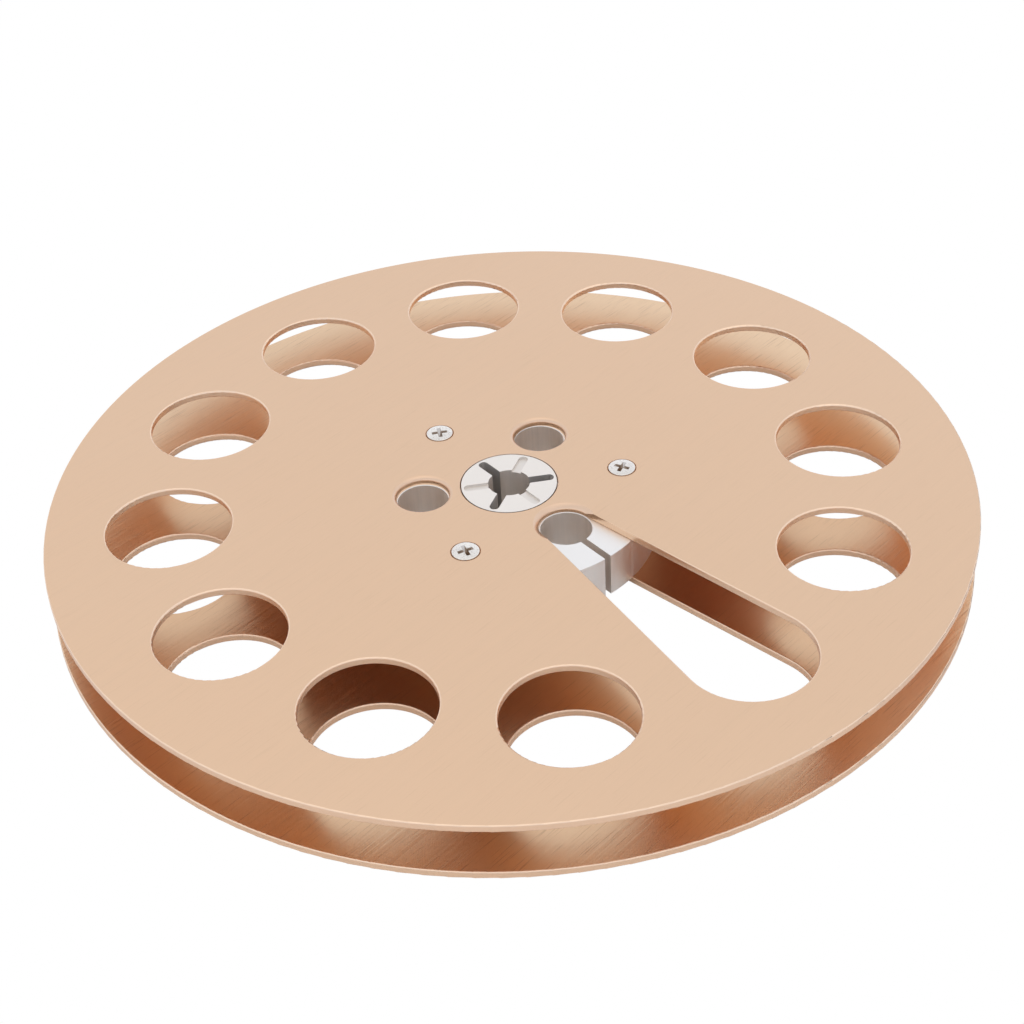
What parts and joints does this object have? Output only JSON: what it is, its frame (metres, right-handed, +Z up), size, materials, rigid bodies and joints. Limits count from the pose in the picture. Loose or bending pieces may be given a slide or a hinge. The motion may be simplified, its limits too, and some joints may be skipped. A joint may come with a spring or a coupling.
{
  "type": "tape reel",
  "caption": "Open-reel take-up reel for quarter-inch recording tape: drilled metal flanges screwed to a machined hub with a slotted spindle bore and a tape slit.",
  "frame": {"origin": "on the reel's axis at its lower face", "axes": "+Z up along the spindle bore; +X along the long slot of the lower flange and the hub's tape slit"},
  "size_m": [0.1778, 0.1778, 0.0125],
  "materials": {
    "machined_aluminium": "fine machined",
    "anodised_aluminium": "brushed, champagne anodised",
    "plated_steel": "bright nickel plate"
  },
  "bodies": {
    "root": {"hub": "machined_aluminium", "upper_flange": "anodised_aluminium", "lower_flange": "anodised_aluminium", "upper_screw_1": "plated_steel", "upper_screw_2": "plated_steel", "upper_screw_3": "plated_steel", "lower_screw_1": "plated_steel", "lower_screw_2": "plated_steel", "lower_screw_3": "plated_steel"}
  },
  "joints": []
}
